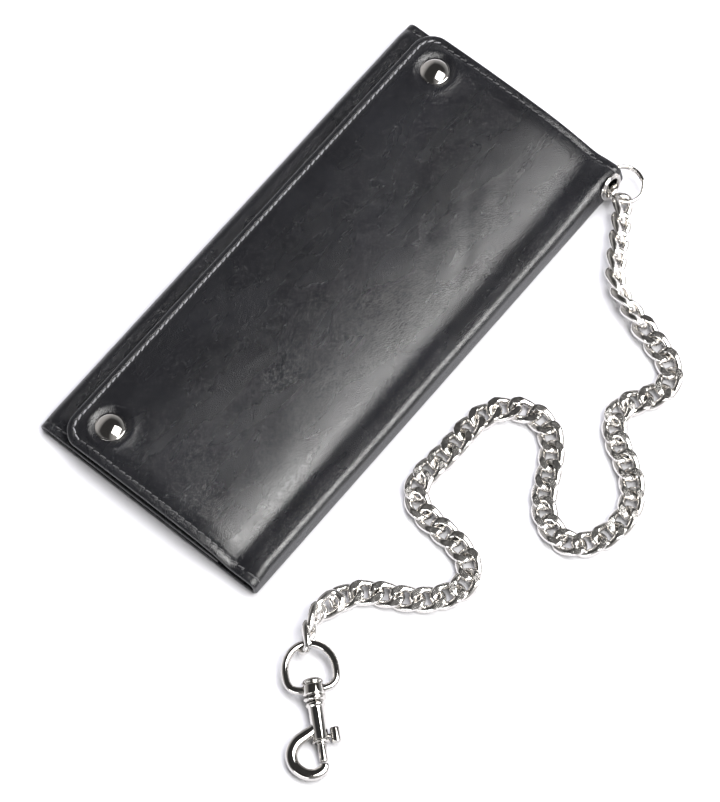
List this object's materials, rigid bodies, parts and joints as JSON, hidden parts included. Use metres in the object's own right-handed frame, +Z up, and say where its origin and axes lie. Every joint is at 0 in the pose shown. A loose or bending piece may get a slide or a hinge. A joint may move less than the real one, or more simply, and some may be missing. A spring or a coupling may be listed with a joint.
{
  "type": "chain wallet",
  "caption": "Long black leather flap wallet with snaps, zipped coin pocket and card pockets, an eyelet with a split ring, and a curb chain ending in a swivel bolt snap.",
  "frame": {"origin": "middle of the wallet's footprint on its back cover, without the ring, chain and clip", "axes": "+Y along the wallet to the eyelet end, +X across it to the spine, +Z up through the flap"},
  "size_m": [0.1682, 0.2333, 0.0128],
  "materials": {
    "black_leather": "smooth, fine-grained black leather with a soft sheen and dark painted edges",
    "pocket_leather": "thin black pocket leather, matt",
    "lining_cloth": "black woven lining and zip tape",
    "nickel": "polished nickel plate",
    "zip_metal": "satin nickel zip metal"
  },
  "bodies": {
    "wallet": {"outer_cover": "black_leather", "bill_divider": "lining_cloth", "coin_pocket_lining": "lining_cloth", "zip_tape_inner": "lining_cloth", "zip_tape_outer": "lining_cloth", "zip_teeth": "zip_metal", "zip_stop_closed_end": "zip_metal", "zip_stop_open_end": "zip_metal", "snap_stud_1": "nickel", "snap_stud_2": "nickel", "snap_post_1": "nickel", "snap_post_2": "nickel", "eyelet": "nickel", "eyelet_washer": "nickel", "split_ring": "nickel", "chain_first_link": "nickel", "chain": "nickel", "chain_last_link": "nickel", "d_ring": "nickel"},
    "fold": {"cover_fold_strip": "black_leather"},
    "flap": {"flap_cover": "black_leather", "flap_lining": "lining_cloth", "card_pocket_left_1": "pocket_leather", "card_pocket_left_2": "pocket_leather", "card_pocket_left_3": "pocket_leather", "card_pocket_right_1": "pocket_leather", "card_pocket_right_2": "pocket_leather", "card_pocket_right_3": "pocket_leather", "snap_cap_1": "nickel", "snap_cap_2": "nickel", "snap_socket_1": "nickel", "snap_socket_2": "nickel"},
    "slider": {"zip_slider": "zip_metal"},
    "pull": {"zip_pull": "zip_metal"},
    "swivel": {"swivel_collar": "nickel"},
    "hook": {"hook_body": "nickel", "bolt_spring": "nickel"},
    "bolt": {"bolt": "nickel", "thumb_stud": "nickel"}
  },
  "joints": [
    {"name": "flap_fold", "type": "hinge", "parent": "wallet", "child": "fold", "pos_m": [0.04212, 0, 0.01041], "axis": [0, 1, 0], "range_deg": [0, 90]},
    {"name": "flap_open", "type": "hinge", "parent": "fold", "child": "flap", "pos_m": [0.03791, 0, 0.0105], "axis": [0, 1, 0], "range_deg": [0, 90]},
    {"name": "zip_slide", "type": "slide", "parent": "wallet", "child": "slider", "axis": [0, 1, 0], "range_m": [-0.132, 0]},
    {"name": "pull_swing", "type": "hinge", "parent": "slider", "child": "pull", "pos_m": [0.024, 0.06325, 0.0064], "axis": [0, 0, 1], "range_deg": [-25, 25]},
    {"name": "swivel_tilt", "type": "hinge", "parent": "wallet", "child": "swivel", "pos_m": [0.0804, -0.1087, 0.0039], "axis": [-0.6718, -0.7408, 0], "range_deg": [0, 110]},
    {"name": "hook_spin", "type": "hinge", "parent": "swivel", "child": "hook", "pos_m": [0.0804, -0.1087, 0.0039], "axis": [0.7391, -0.6703, -0.0663], "continuous": true},
    {"name": "bolt_slide", "type": "slide", "parent": "hook", "child": "bolt", "axis": [-0.7391, 0.6703, 0.0663], "range_m": [0, 0.0042], "stiffness_N_per_m": 150, "springref_m": -0.002}
  ],
  "couplings": [
    {"joint": "flap_fold", "follows": "flap_open", "ratio": 1}
  ]
}
